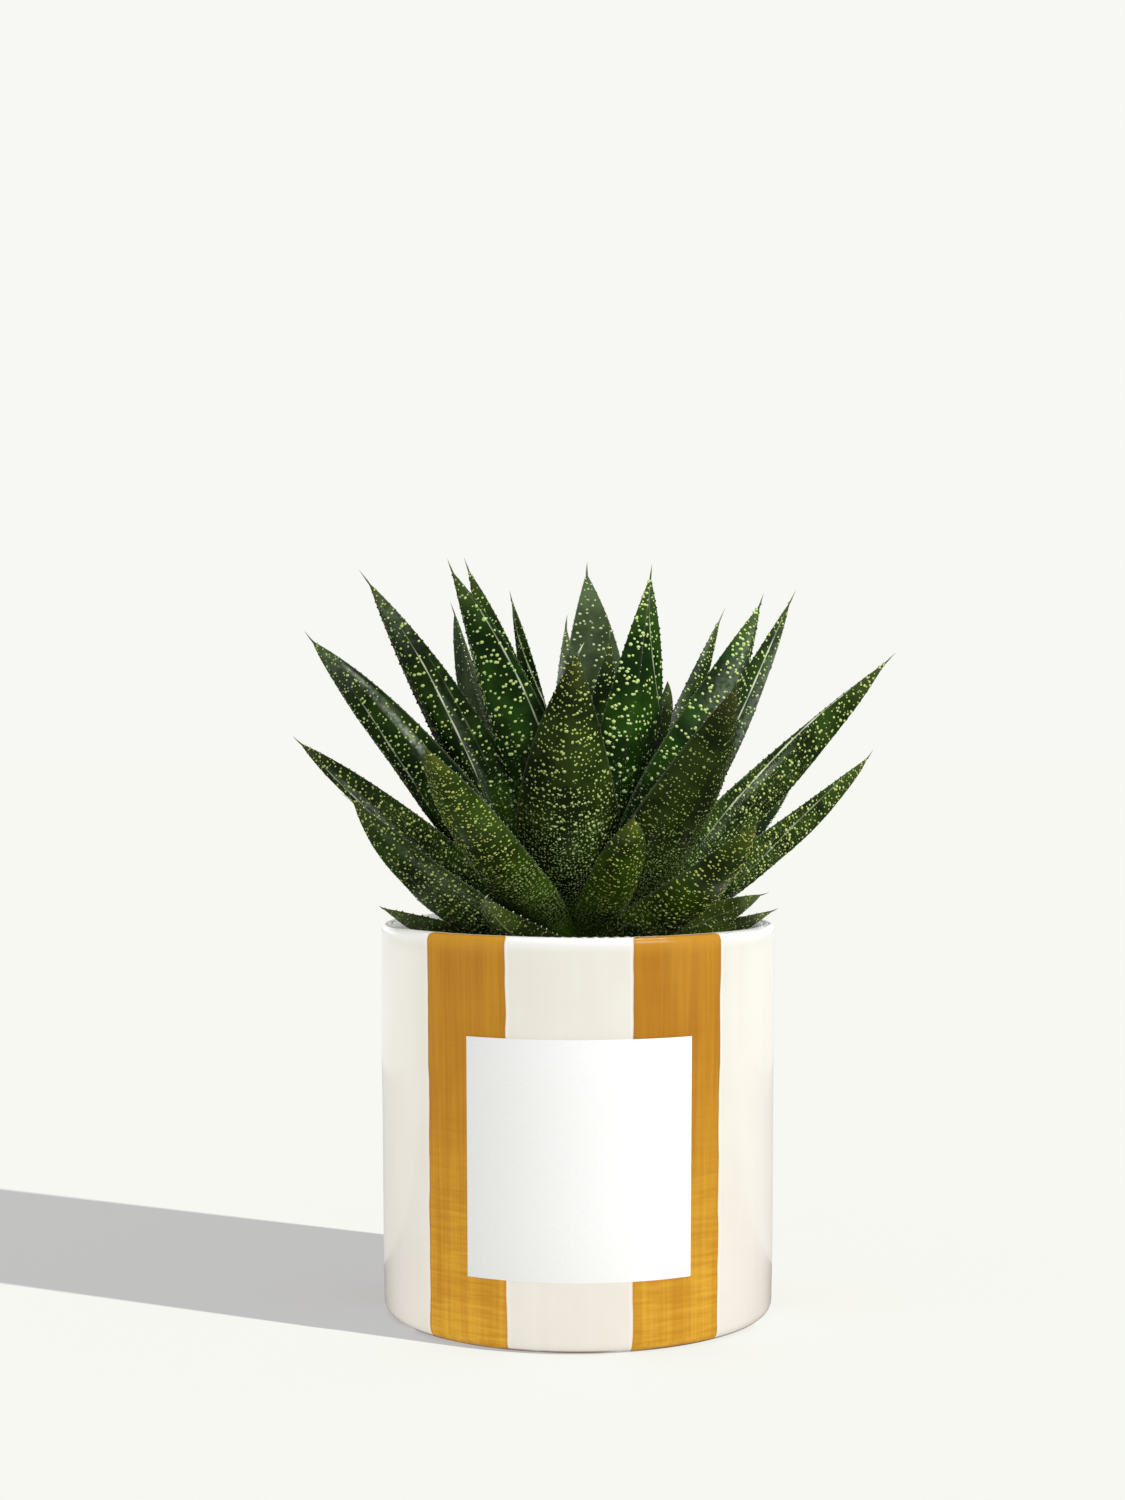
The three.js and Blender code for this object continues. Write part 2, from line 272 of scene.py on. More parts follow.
# Tin-glazed earthenware with brushed ochre bands: thick, warm, very glossy, bare clay where it was wiped.
def makeGlaze():
    g, s = glazeLook, stripes
    material, add, shader = newMaterial("tinGlazeWithOchreBrushwork")
    place = add("TexCoord")[3]
    x, y, z = add("SeparateXYZ", place)
    run = add("Attribute", attribute_name="glazeRun")[2]
    up = add("Math MULTIPLY", z, 1 / mm)[0]
    angle = add("Math DEGREES", add("Math ARCTAN2", x, add("Math MULTIPLY", y, -1.0)[0])[0])[0]
    sway, fine, broad, level = (
        add("TexNoise", add("Mapping", {"Vector": place, "Scale": scale})[0], 1.0, detail)[0]
        for scale, detail in g["strokes"]
    )
    patch = add("TexNoise", place, 60.0, 3.0)[0]

    # millimetres outside the outline of the nearest band, which has rounded upper corners
    nearest = 180.0
    for middle, half in s["places"]:
        turned = add("Math WRAP", add("Math SUBTRACT", angle, middle)[0], 180.0, -180.0)[0]
        turned = add("Math SUBTRACT", add("Math ABSOLUTE", turned)[0], half)[0]
        nearest = add("Math MINIMUM", nearest, turned)[0]
    sway = add("Math MULTIPLY_ADD", sway, g["sway"], -g["sway"] / 2)[0]
    perDegree = math.radians(1) * potSizes["rimRadius"]
    across = add("Math MULTIPLY_ADD", nearest, perDegree, sway)[0]
    besides = add("Math ADD", across, s["corner"])[0]
    above = add("Math ADD", run, s["corner"] - s["top"])[0]
    outer = [add("Math MAXIMUM", way, 0.0)[0] for way in (besides, above)]
    outer = add("VectorMath LENGTH", add("CombineXYZ", *outer)[0])[0]
    inner = add("Math MINIMUM", add("Math MAXIMUM", besides, above)[0], 0.0)[0]
    edge = add("Math SUBTRACT", add("Math ADD", outer, inner)[0], s["corner"])[0]
    band = add("MapRange", edge, s["edge"], -s["edge"])[0]

    def along(where, reach, most):  # a line beside the outline, this many millimetres outside it
        away = add("Math ABSOLUTE", add("Math SUBTRACT", edge, where)[0])[0]
        return add("MapRange", away, reach, 0.0, 0.0, most)[0]

    # the ochre: brush streaks down the band, 0.8 mm and 4 mm apart, and cross strokes low down
    crossed = add("Math SUBTRACT", level, 0.5)[0]
    crossed = add("Math MULTIPLY", crossed, add("MapRange", up, 85.0, 8.0, 0.12)[0])[0]
    streak = 0.0
    for stroke, share in zip((fine, broad, patch, crossed), g["shares"]):
        streak = add("Math MULTIPLY_ADD", stroke, share, streak)[0]
    paler = add("MapRange", up, 92.0, -6.0)[0]
    thick, thin = (add("Mix", paler, *g[name])[0] for name in ("thick", "thin"))
    ochre = add("Mix", add("MapRange", streak, 0.26, 0.76)[0], thick, thin)[0]
    # painted highlight where the ochre runs over the lip
    ochre = add("Mix", add("MapRange", run, 111.0, 116.0, 0.0, 0.6)[0], ochre, g["overLipHighlight"])[0]
    ochre = add("Mix", along(-0.45, 0.5, 0.3), ochre, g["pooled"])[0]

    # the white, with faint wiping marks, then what lies over it
    height = add("MapRange", up, 0.0, potSizes["height"], interpolation_type="LINEAR")[0]
    colour = add("Mix", height, *g["white"])[0]
    wiped = add("Math MULTIPLY_ADD", patch, 0.6, add("Math MULTIPLY", broad, 0.4)[0])[0]
    clay = add("MapRange", up, 1.4, 0.4)[0]
    layers = [
        (add("MapRange", wiped, 0.35, 0.65, 0.0, 0.2)[0], g["wiped"]),
        # the lip: thicker glaze and a painted highlight
        (add("MapRange", run, 112.5, 116.0)[0], g["lip"]),
        (along(0.55, 0.6, 0.6), g["halo"]),
        (band, ochre),
        (add("Math MULTIPLY", clay, add("MapRange", patch, 0.35, 0.55)[0])[0], g["clay"]),
    ]
    for share, tone in layers:
        colour = add("Mix", share, colour, tone)[0]

    brushed = add("Math MULTIPLY", streak, band)[0]
    relief = 0.0
    for form, depth in ((add("TexNoise", place, 45.0, 1.0)[0], 0.8), (band, 0.04), (brushed, 0.06)):
        relief = add("Math MULTIPLY_ADD", form, depth, relief)[0]
    plug(shader, {
        "Base Color": colour,
        "Roughness": add("Math MULTIPLY_ADD", brushed, -0.08, g["gloss"])[0],
        "IOR": 1.5,
        "Coat Weight": 0.4,  # the clear layer of the glaze
        "Coat Roughness": 0.06,
        "Normal": add("Bump", {"Height": relief, "Strength": 0.35, "Distance": 0.6 * mm})[0],
    })
    return material


# Thin white liner glaze without gloss, poured round the inside: it doesn't mirror the dark leaves.
def makeLiner():
    material, add, shader = newMaterial("mattWhiteLiner")
    cloudy = add("MapRange", add("TexNoise", add("TexCoord")[3], 120.0, 2.0)[0], 0.35, 0.65)[0]
    colour = add("Mix", cloudy, *glazeLook["liner"])[0]
    plug(shader, {"Base Color": colour, "Roughness": 0.85, "Specular IOR Level": 0.1})
    return material


pot = makePot()
pot.data.materials.clear()
pot.data.materials.append(makeGlaze())
pot.data.materials.append(makeLiner())
glazeRun = pot.data.attributes["glazeRun"].data
for face in pot.data.polygons:
    face.material_index = int(all(glazeRun[corner].value == insideRun for corner in face.vertices))
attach(pot, "root")
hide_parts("pot")
print("pot made:", len(pot.data.polygons), "faces")


# --- label ---

labelSizes = {
    "halfAngle": 32,
    "bottom": 20.4,
    "top": 88.5,
    "thickness": 0.3,
    "rounding": 0.06,
    "stand": 0.32,  # how far it stands off the wall
    "sides": 240,
}


def makeLabel():
    s = labelSizes
    tall = s["top"] - s["bottom"]
    middle = (s["top"] + s["bottom"]) / 2
    slope = (potSizes["rimRadius"] - potSizes["footRadius"]) / potSizes["height"]
    radius = potSizes["footRadius"] + slope * middle + s["stand"]
    tube = addCylinder(s["sides"], radius, s["bottom"], s["top"], end_fill_type="NOTHING")
    label = settle(tube, "blankLabel")
    for side in (1, -1):  # cut at both ends of the label
        editParts(label, lambda co: True)
        angle = math.radians(s["halfAngle"]) * side
        away = Vector((math.cos(angle) * side, math.sin(angle) * side, 0))
        bpy.ops.mesh.bisect(plane_co=(0, 0, 0), plane_no=away, clear_outer=True)
    editParts(label, lambda co: co.y > 0, "VERT")
    bpy.ops.mesh.delete(type="VERT")
    for level in (0.25, 0.5, 0.75):
        bpy.ops.mesh.select_all(action="SELECT")
        bpy.ops.mesh.bisect(plane_co=(0, 0, (s["bottom"] + tall * level) * mm), plane_no=(0, 0, 1))
    bpy.ops.object.mode_set(mode="OBJECT")
    for vertex in label.data.vertices:  # the same slope as the pot's wall
        share = 1 + slope * (vertex.co.z / mm - middle) / radius
        vertex.co.x *= share
        vertex.co.y *= share
    applyModifier(label, "SOLIDIFY", thickness=s["thickness"] * mm, offset=1.0)
    applyModifier(label, "BEVEL", width=s["rounding"] * mm, segments=2, limit_method="ANGLE")
    smoothShade(label, 30)
    return label


# Coated label paper, semi-matt, with a barely seen fibre; plain white, no print.
def makePaper():
    material, add, shader = newMaterial("coatedLabelPaper")
    fibre = add("Mapping", {"Vector": add("TexCoord")[3], "Scale": (2200, 2200, 1400)})[0]
    fibre = add("TexNoise", fibre, 1.0, 4.0)[0]
    low, high = 0.3, 0.7  # the range that the noise really spans
    plug(shader, {
        "Base Color": add("Mix", add("MapRange", fibre, low, high)[0], "#ffffff", "#fbfbfa")[0],
        "Roughness": add("MapRange", fibre, low, high, 0.42, 0.52)[0],
        "IOR": 1.46,
        "Normal": add("Bump", {"Height": fibre, "Strength": 0.15, "Distance": 0.05 * mm})[0],
    })
    return material


label = makeLabel()
label.data.materials.append(makePaper())
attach(label, "root")
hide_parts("label")
print("label made")


# --- soil and stem ---

soilSizes = {
    "top": 103,
    "radius": 54.4,
    "gap": 0.4,  # above the pot's floor
    "taper": 0.985,
    "rings": 14,
    "ringGap": 3.3,
    "roughness": 2.6,
    "grain": 3.5,
    "edge": 1.5,  # how far loose grains stay from the wall
    # name, count, smallest and largest size, how flat, colours and roughness of the finish
    "flecks": [
        ("peatCrumbs", 900, (0.6, 1.7), 0.8, ("dampPeatMix", "#17110c", "#35261a", 0.9)),
        ("barkChips", 46, (1.5, 3.2), 0.35, ("pineBark", "#3a2416", "#6a452b", 0.8)),
        ("perlite", 40, (0.5, 1.1), 0.9, ("perliteGrains", "#d9d5cb", "#f2efe8", 0.85)),
    ],
    "seed": 11,
}
stemSizes = {
    "radius": 8.8,
    "rise": 14.5,
    "base": 103.6,
    "rootTop": 104,
    "rootBottom": 84,
    "rootRadius": 5.9,
    "scars": 0.025,  # how deep, as a share of the radius
    "scarTurns": 2.4,  # radians for a millimetre up
    "finish": ("greenStem", "#4d5a2a", "#7d8a45", 0.6),  # firm green tissue, cloudy and nearly matt
}


def fleckCloud(kind, count, sizes, seed, flat):  # one lump modelled once, then scattered on the soil
    bpy.ops.mesh.primitive_ico_sphere_add(subdivisions=1, radius=1)
    corners, faces = takeShape(bpy.context.object)
    draw = np.random.default_rng(seed)
    places, tris = [], []
    for index in range(count):
        radius = (soilSizes["radius"] - soilSizes["edge"]) * math.sqrt(draw.uniform(0.03, 1))
        turn = draw.uniform(0, 2 * math.pi)
        size = draw.uniform(*sizes)
        axes = np.linalg.qr(draw.normal(size=(3, 3)))[0]
        rough = corners * (1 + draw.uniform(-0.25, 0.25, (len(corners), 1)))
        shaped = (rough * size * np.array([1, 0.8, flat])) @ axes
        rise = soilSizes["top"] + 0.35 * size
        places.append(shaped + (radius * math.cos(turn), radius * math.sin(turn), rise))
        tris.append(faces + index * len(corners))
    mesh = bpy.data.meshes.new(kind)
    mesh.from_pydata(np.concatenate(places) * mm, [], np.concatenate(tris).tolist())
    return mesh


def makeSoil():
    s = soilSizes
    floor = potSizes["floor"] + s["gap"]
    soil = settle(addCylinder(96, s["radius"], floor, s["top"]), "pottingSoil")
    editParts(soil, lambda co: co.z < (s["top"] - 10) * mm)
    bpy.ops.transform.resize(value=(s["taper"], s["taper"], 1))
    editParts(soil, lambda co: co.z > (s["top"] - 1) * mm)
    for _ in range(s["rings"]):  # rings towards the middle
        bpy.ops.mesh.inset(thickness=s["ringGap"] * mm)
    bpy.ops.object.mode_set(mode="OBJECT")
    applyModifier(soil, "TRIANGULATE")
    group = soil.vertex_groups.new(name="surface")
    top = [v.index for v in soil.data.vertices if v.co.z > (s["top"] - 1) * mm]
    group.add(top, 1.0, "REPLACE")
    clouds = {"texture": addClouds("crumbs", s["grain"], 3), "vertex_group": "surface"}
    applyModifier(soil, "DISPLACE", **clouds, direction="Z", strength=s["roughness"] * mm, mid_level=0.6)
    smoothShade(soil, 60)
    return soil


# Peat and bark potting mix, damp and dark, with paler bark and white perlite grains.
def makeMix(name, first, second, roughness):
    material, add, shader = newMaterial(name)
    grain = add("TexNoise", add("TexCoord")[3], 700.0, 6.0)[0]
    plug(shader, {
        "Base Color": add("Mix", add("MapRange", grain, 0.3, 0.7)[0], first, second)[0],
        "Roughness": roughness,
        "Normal": add("Bump", {"Height": grain, "Strength": 0.8, "Distance": 0.6 * mm})[0],
    })
    return material


soil = makeSoil()
flecks = []
for index, (kind, count, sizes, flat, mix) in enumerate(soilSizes["flecks"]):
    soil.data.materials.append(makeMix(*mix))
    flecks.append(fleckCloud(kind, count, sizes, soilSizes["seed"] + index, flat))
pick(soil)
for index, mesh in enumerate(flecks):
    for material in soil.data.materials:
        mesh.materials.append(material)
    mesh.polygons.foreach_set("material_index", [index] * len(mesh.polygons))
    cloud = bpy.data.objects.new(mesh.name, mesh)
    bpy.context.scene.collection.objects.link(cloud)
    cloud.select_set(True)
bpy.ops.object.join()
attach(soil, "root")
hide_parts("soil")


def makeStem():
    s = stemSizes
    bpy.ops.mesh.primitive_uv_sphere_add(segments=40, ring_count=28, radius=mm)
    stem = bpy.context.object
    for vertex in stem.data.vertices:  # a dome with rings where old leaves were, on a plain root
        up = vertex.co.z / mm
        ring = math.hypot(vertex.co.x, vertex.co.y) / mm
        turn = math.atan2(vertex.co.y, vertex.co.x)
        if up >= 0:
            wide, height = s["radius"], s["base"] + s["rise"] * up
            scar = 1 + s["scars"] * math.sin(height * s["scarTurns"] + turn)
        else:
            wide, height = s["rootRadius"], s["rootTop"] + (s["rootTop"] - s["rootBottom"]) * up
            scar = 1
            ring = min(1.0, 1.6 * ring)
        wide *= ring * scar
        vertex.co = (wide * math.cos(turn) * mm, wide * math.sin(turn) * mm, height * mm)
    smoothShade(stem, 60)
    return settle(stem, "shortStem")


stem = makeStem()
stem.data.materials.append(makeMix(*stemSizes["finish"]))
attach(stem, "root")
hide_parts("stem")
print("soil and stem made")


# --- leaves ---

# The same middle lines and sections as the solids. Lengths in millimetres, angles in degrees.
leafForm = {
    "crown": 106,
    "stemBase": 104,
    "stemRadius": 9,
    "stemRise": 15,
    "insertion": 0.8,
    "baseBreadth": 0.4,
    "baseDepth": 0.35,
    "keelDepth": 0.34,
    "channelDepth": 0.1,
    "taper": 3.1,
    "awn": 0.035,  # share of the length that is the thin dry end
    "awnRadius": 0.34,
    "awnCurl": 1.6,
    "swell": 0.22,  # the skin is never quite even
    "rows": 72,
}
acrossUpper = [-1, -0.9, -0.75, -0.55, -0.35, -0.15, 0.0, 0.15, 0.35, 0.55, 0.75, 0.9, 1]
besideKeel = [0.93, 0.84, 0.74, 0.63, 0.52, 0.41, 0.31, 0.21, 0.12, 0.05, 0.02]
acrossLower = besideKeel + [0.0] + [-s for s in reversed(besideKeel)]


def leafRow(turn, rise, reach, width, **rest):  # the rest departs from a straight leaf and a plain finish
    return {"turn": turn, "rise": rise, "reach": reach, "width": width, **rest}


# lines are pale ridges that partly stand for a painted highlight; wax are painted sheen where highlights fall
# lines: from and to across, start, stop and strength; wax: the same with a half width after the first two
backRidge = (0, 0, 0.4, 0.95, 0.5)
leaves = [
    leafRow(99, 77, 109, 13),
    leafRow(63, 77, 104, 15, keel=-0.3, lines=[(0, 0, 0.45, 0.95, 0.6)]),
    leafRow(29.5, 69, 91, 20, roll=-22, taper=9, awn=0),
    leafRow(-90, 69, 101, 34.5, lean=-0.035, taper=2.2, round=1, curl=5, look="brown"),
    leafRow(135, 75, 118, 22, bow=0.03, roll=60, lines=[(1.5, 0.35, 0.5, 0.95, 0.9)], fine=0.85),
    leafRow(86, 74, 129, 27, lean=-0.034, look="grey", wax=[(0, 0, 1.2, 0.4, 1, 0.18)]),
    leafRow(
        -30, 78, 122, 27, bow=-0.033, roll=-25, taper=2.9, look="large", keel=-0.45,
        lines=[(1.5, 0.1, 0.55, 0.95, 0.7)],
    ),
    leafRow(
        -144, 68, 129, 26, bow=0.03, lean=0.03, roll=20, taper=2.7, look="large", keel=-0.35,
        lines=[(0.8, 0.85, 0.4, 0.94, 0.8)], fine=0.88,
    ),
    leafRow(160, 73, 129, 24, bow=0.02, roll=60, fine=0.85),
    leafRow(31, 63.5, 121.5, 20, bow=-0.02, roll=-60, fine=0.85),
    leafRow(
        -20, 61.8, 125, 29, bow=-0.02, roll=-30, taper=2.8, look="large",
        wax=[(-0.6, -0.1, 0.4, 0.62, 0.95, 0.17)], fine=0.88,
    ),
    leafRow(138, 64, 124, 26, bow=-0.02, roll=35, taper=5, look="grey"),
    leafRow(
        -163, 60, 135, 23.5, bow=0.013, roll=35, keel=-0.1,
        lines=[(0.28, 0.65, 0.36, 0.86, 1), (0.6, 0.9, 0.4, 0.8, 0.35)],
        wax=[(0.33, 0.7, 0.07, 0.3, 0.7, 0.15), (0.2, 0.2, 1.2, 0.78, 1, 0.12)],
    ),
    leafRow(
        8, 59, 132, 25.5, bow=-0.031, roll=-35, keel=0.1, lines=[(-0.35, -0.58, 0.55, 0.94, 1)],
        wax=[(0.2, 0.2, 0.5, 0.5, 0.9, 0.35)],
    ),
    leafRow(92, 54, 100, 26),
    leafRow(-48, 51, 108, 29.5, lean=0.055, roll=-8, round=1, look="brown", fine=0.82, dim=0.62),
    leafRow(
        -173, 49.9, 130, 31, bow=0.016, roll=25, taper=4.6, keel=0.15,
        lines=[(0.02, 0.5, 0.42, 0.85, 0.7)],
        wax=[(0.62, 0.86, 0.05, 0.4, 0.9, 0.75), (0.3, 0.3, 1.2, 0.8, 1, 0.13)], fine=0.82,
    ),
    leafRow(138, 50, 90, 24, lines=[backRidge]),
    leafRow(62, 46, 110, 26, lines=[backRidge]),
    leafRow(118, 45, 110, 26, lines=[backRidge]),
    leafRow(
        -3, 44, 134, 24.5, bow=-0.008, roll=-30, taper=3.2, keel=0.3,
        lines=[(-0.74, -1.05, 0.3, 0.93, 1)], wax=[(-0.66, -0.9, 0.035, 0.36, 0.72, 0.28)], fine=1.05,
        look="outer",
    ),
    leafRow(-73, 40.5, 70, 16, lean=0.03, taper=5, round=1, look="olive", fine=0.75, dim=0.86),
    leafRow(-121.5, 38.4, 106, 22, bow=0.013, lean=-0.04, taper=4.2, round=1, look="olive", fine=0.75),
    leafRow(
        -177, 37.8, 110.5, 20.5, bow=0.003, roll=25, taper=5, lines=[(-0.1, 0.36, 0.5, 0.94, 0.8)],
        wax=[(0.1, 0.45, 0.1, 0.35, 0.85, 0.3)], fine=0.92, look="outer",
    ),
    leafRow(165, 36, 96.5, 25, bow=0.005, roll=20, taper=6.5, look="grey"),
    leafRow(
        6, 34.4, 112.7, 24.3, bow=-0.045, roll=-25, taper=4.2, keel=-0.1,
        lines=[(-0.4, -0.9, 0.4, 0.92, 0.6)], fine=0.9, look="outer",
    ),
    leafRow(
        -152, 33.8, 91.5, 27.5, bow=-0.067, roll=5, taper=4.5, curl=5, lines=[(0.4, 0.2, 0.5, 0.9, 0.3)],
        wax=[(0.85, 0.65, 0.1, 0.4, 0.9, 0.1)], fine=0.9, look="outer",
    ),
    leafRow(82, 32, 98, 25, bow=-0.04, lines=[backRidge]),
    leafRow(38, 30, 106, 24, bow=-0.04, lines=[backRidge]),
    leafRow(140, 29, 98, 24, bow=-0.04, lines=[backRidge]),
    leafRow(108, 28, 92, 24, bow=-0.04, lines=[backRidge]),
    leafRow(-50, 29.5, 90.5, 25.5, bow=-0.03, lean=0.05, roll=-5, round=1, look="olive", fine=0.85),
    leafRow(-122, 22.4, 57.3, 24, bow=-0.05, curl=5, look="young", lines=[(0.5, 0.2, 0.3, 0.97, 0.6)]),
    leafRow(
        -5, 19.3, 61, 22.5, bow=0.02, roll=-15, taper=5, look="young",
        lines=[(-0.5, -0.5, 0.3, 0.95, 0.4)],
    ),
    leafRow(72, 18, 68, 20, look="young"),
    leafRow(118, 17, 68, 20, look="young"),
    leafRow(-172, 15, 63.6, 23, bow=-0.016, roll=15, look="young", lines=[(0.5, 0.4, 0.3, 0.95, 0.4)]),
    leafRow(35, 16, 64, 19, look="young"),
    leafRow(-14, 14.6, 64, 23.5, bow=-0.01, roll=-10, look="young", lines=[(-0.6, -0.5, 0.3, 0.95, 0.4)]),
    leafRow(150, 15, 62, 19, look="young"),
]


def ease(x, low, high):
    share = np.clip((np.asarray(x, float) - low) / (high - low), 0, 1)
    return share * share * (3 - 2 * share)


def unit(vectors):
    return vectors / np.linalg.norm(vectors, axis=-1, keepdims=True)


def spineAt(leaf, t):  # the middle line, with the directions along, across and out of the upper face
    f = leafForm
    heading, climb = math.radians(leaf["turn"]), math.radians(leaf["rise"])
    flat = math.cos(climb)
    out = np.array([flat * math.cos(heading), flat * math.sin(heading), math.sin(climb)])
    start = out * [f["stemRadius"], f["stemRadius"], f["stemRise"]] * f["insertion"] + [0, 0, f["stemBase"]]
    tip = out * leaf["reach"] + [0, 0, f["crown"]]
    chord = tip - start
    size = np.linalg.norm(chord)
    across = np.array([-math.sin(heading), math.cos(heading), 0])
    across = unit(across - chord / size * (across @ chord) / size)
    upper = np.cross(chord / size, across)
    middle = (start + tip) / 2 + 2 * size * (leaf.get("bow", 0) * upper + leaf.get("lean", 0) * across)
    t = np.asarray(t, float)[:, None]
    point = (1 - t) ** 2 * start + 2 * t * (1 - t) * middle + t * t * tip
    along = unit((1 - t) * (middle - start) + t * (tip - middle))
    side = unit(across - along * (along @ across)[:, None])
    face = np.cross(along, side)
    twist = math.radians(leaf.get("roll", 0)) * ease(t, 0, 0.5)
    c, s = np.cos(twist), np.sin(twist)
    return point, along, side * c + face * s, face * c - side * s


def skinAt(leaf, t, u, lower):  # points of the leaf's skin at shares t along and u across
    f = leafForm
    taper = leaf.get("taper", f["taper"])
    awn = leaf.get("awn", f["awn"])
    blade = np.clip(t / (1 - awn), 0, 1)  # the last of the length is the awn
    breadth = (1 - blade**taper) ** 0.95 * (f["baseBreadth"] + (1 - f["baseBreadth"]) * ease(t, -0.06, 0.28))
    depth = (1 - blade ** (taper - 0.5)) ** 0.9
    depth = depth * (f["baseDepth"] + (1 - f["baseDepth"]) * ease(t, -0.05, 0.35))
    thin = f["awnRadius"] * (1 - 0.75 * ease(t, 1 - awn - 0.001, 1))
    half = np.maximum(leaf["width"] / 1.9 * breadth, thin)
    keel = np.maximum(f["keelDepth"] * leaf["width"] * depth, thin)
    channel = f["channelDepth"] * leaf["width"] * depth * (1 - ease(t, 0.5, 0.95))
    fullness = 2.3 - (0.3 if leaf.get("round") else 1.0) * ease(t, 0.15, 0.75)
    s = np.where(lower, u, 0.0)
    keelAt = leaf.get("keel", 0) * ease(t, 0.2, 0.6)
    across = np.where(lower, keelAt + s * (1 - keelAt * np.sign(s)), u)
    low = -keel * (1 - np.abs(s) ** fullness)
    high = -channel * (1 - u * u)
    swell = f["swell"] * np.sin(9 * t + leaf["turn"]) * np.sin(3.1 * across + 14 * t + leaf["rise"])
    swell = swell * (1 - u**4) * ease(t, 0.15, 0.3) * (1 - ease(t, 0.8, 0.95))
    point, along, side, face = spineAt(leaf, t)
    up = np.where(lower, low, high) + swell
    return point + side * (across * half)[:, None] + face * up[:, None]


def framesAt(leaf, t, u, lower):  # places on the skin with the directions across, along and outwards
    here = skinAt(leaf, t, u, lower)
    towards = np.where(t > 0.98, -0.004, 0.004)
    sideways = np.where(u > 0.98, -0.01, 0.01)
    alongSkin = unit((skinAt(leaf, t + towards, u, lower) - here) * np.sign(towards)[:, None])
    acrossSkin = unit((skinAt(leaf, t, u + sideways, lower) - here) * np.sign(sideways)[:, None])
    out = unit(np.cross(alongSkin, acrossSkin)) * np.where(lower, -1, 1)[:, None]
    return here, unit(np.cross(alongSkin, out)), alongSkin, out


def standOff(skin, across, along, up):  # points this far off the skin's places, a row of them for each place
    here, acrossSkin, alongSkin, out = (part[:, None] for part in skin)
    points = here + acrossSkin * across[..., None] + alongSkin * along[..., None] + out * up[..., None]
    return points.reshape(-1, 3)


def placesOf(leaf, t, u, count):  # mm across, mm along and the share along, for each of so many corners
    return np.repeat(np.stack([u * leaf["width"] / 2, t * leaf["reach"], t], axis=1), count, axis=0)


def wartShape(sides, rings):  # a closed low dome, modelled once
    bpy.ops.mesh.primitive_uv_sphere_add(segments=sides, ring_count=2 * rings, radius=1)
    dome = bpy.context.object
    bpy.ops.object.mode_set(mode="EDIT")
    bpy.ops.mesh.select_all(action="SELECT")
    level = {"plane_co": (0, 0, 0), "plane_no": (0, 0, 1)}
    bpy.ops.mesh.bisect(**level, clear_inner=True, use_fill=True, threshold=0.01)
    bpy.ops.object.mode_set(mode="OBJECT")
    applyModifier(dome, "TRIANGULATE")
    return takeShape(dome)


def beadShape(sides):  # the same with a point below the skin and half the faces, for the smaller spots
    bpy.ops.mesh.primitive_cone_add(
        vertices=sides, radius1=1, depth=1, end_fill_type="NOTHING", location=(0, 0, 0.5)
    )
    cone = bpy.context.object
    editParts(cone, lambda co: co.z < 0.01 - 0.5, "EDGE")
    bpy.ops.mesh.extrude_region_move(TRANSFORM_OT_translate={"value": (0, 0, -0.8)})
    bpy.ops.mesh.merge(type="CENTER")
    bpy.ops.mesh.select_all(action="SELECT")
    bpy.ops.mesh.normals_make_consistent(inside=False)
    bpy.ops.object.mode_set(mode="OBJECT")
    corners, faces = takeShape(cone)
    return corners + (0, 0, 0.5), faces


wart = wartShape(6, 2)
bead = beadShape(6)
print("wart and bead:", len(wart[1]), len(bead[1]), "faces")

spotRules = {
    "from": 0.1,  # the rows' reach, in shares of the leaf
    "to": 0.96,
    "rowGap": 1.15,  # in pitches
    "hidden": 1.55,  # how much sparser the side is that the rosette hides
    "small": 0.26,  # half length near the base
    "height": 0.5,  # over half length
    "beads": 0.42,  # up to this half length a spot is a bead
    "sunk": 0.05,  # how far each foot is under the skin
}
toothRules = {
    # share across, underside or not, where they start, gap and share of the full size
    "rows": [(-1, False, 0.2, 2.7, 1), (1, False, 0.2, 2.7, 1), (0, True, 0.5, 3.2, 0.7)],
    "shape": (0.4, 0.26, 0.6),  # half length, half width and height
    "tone": 0.9,
}
ridgeRules = {
    "ring": [(-0.44, -0.05), (0, -0.3), (0.44, -0.05), (0, 0.2)],  # across and out
    "rings": 64,
    "sides": 0.35,  # how pale its sides are, as a share of its top
}


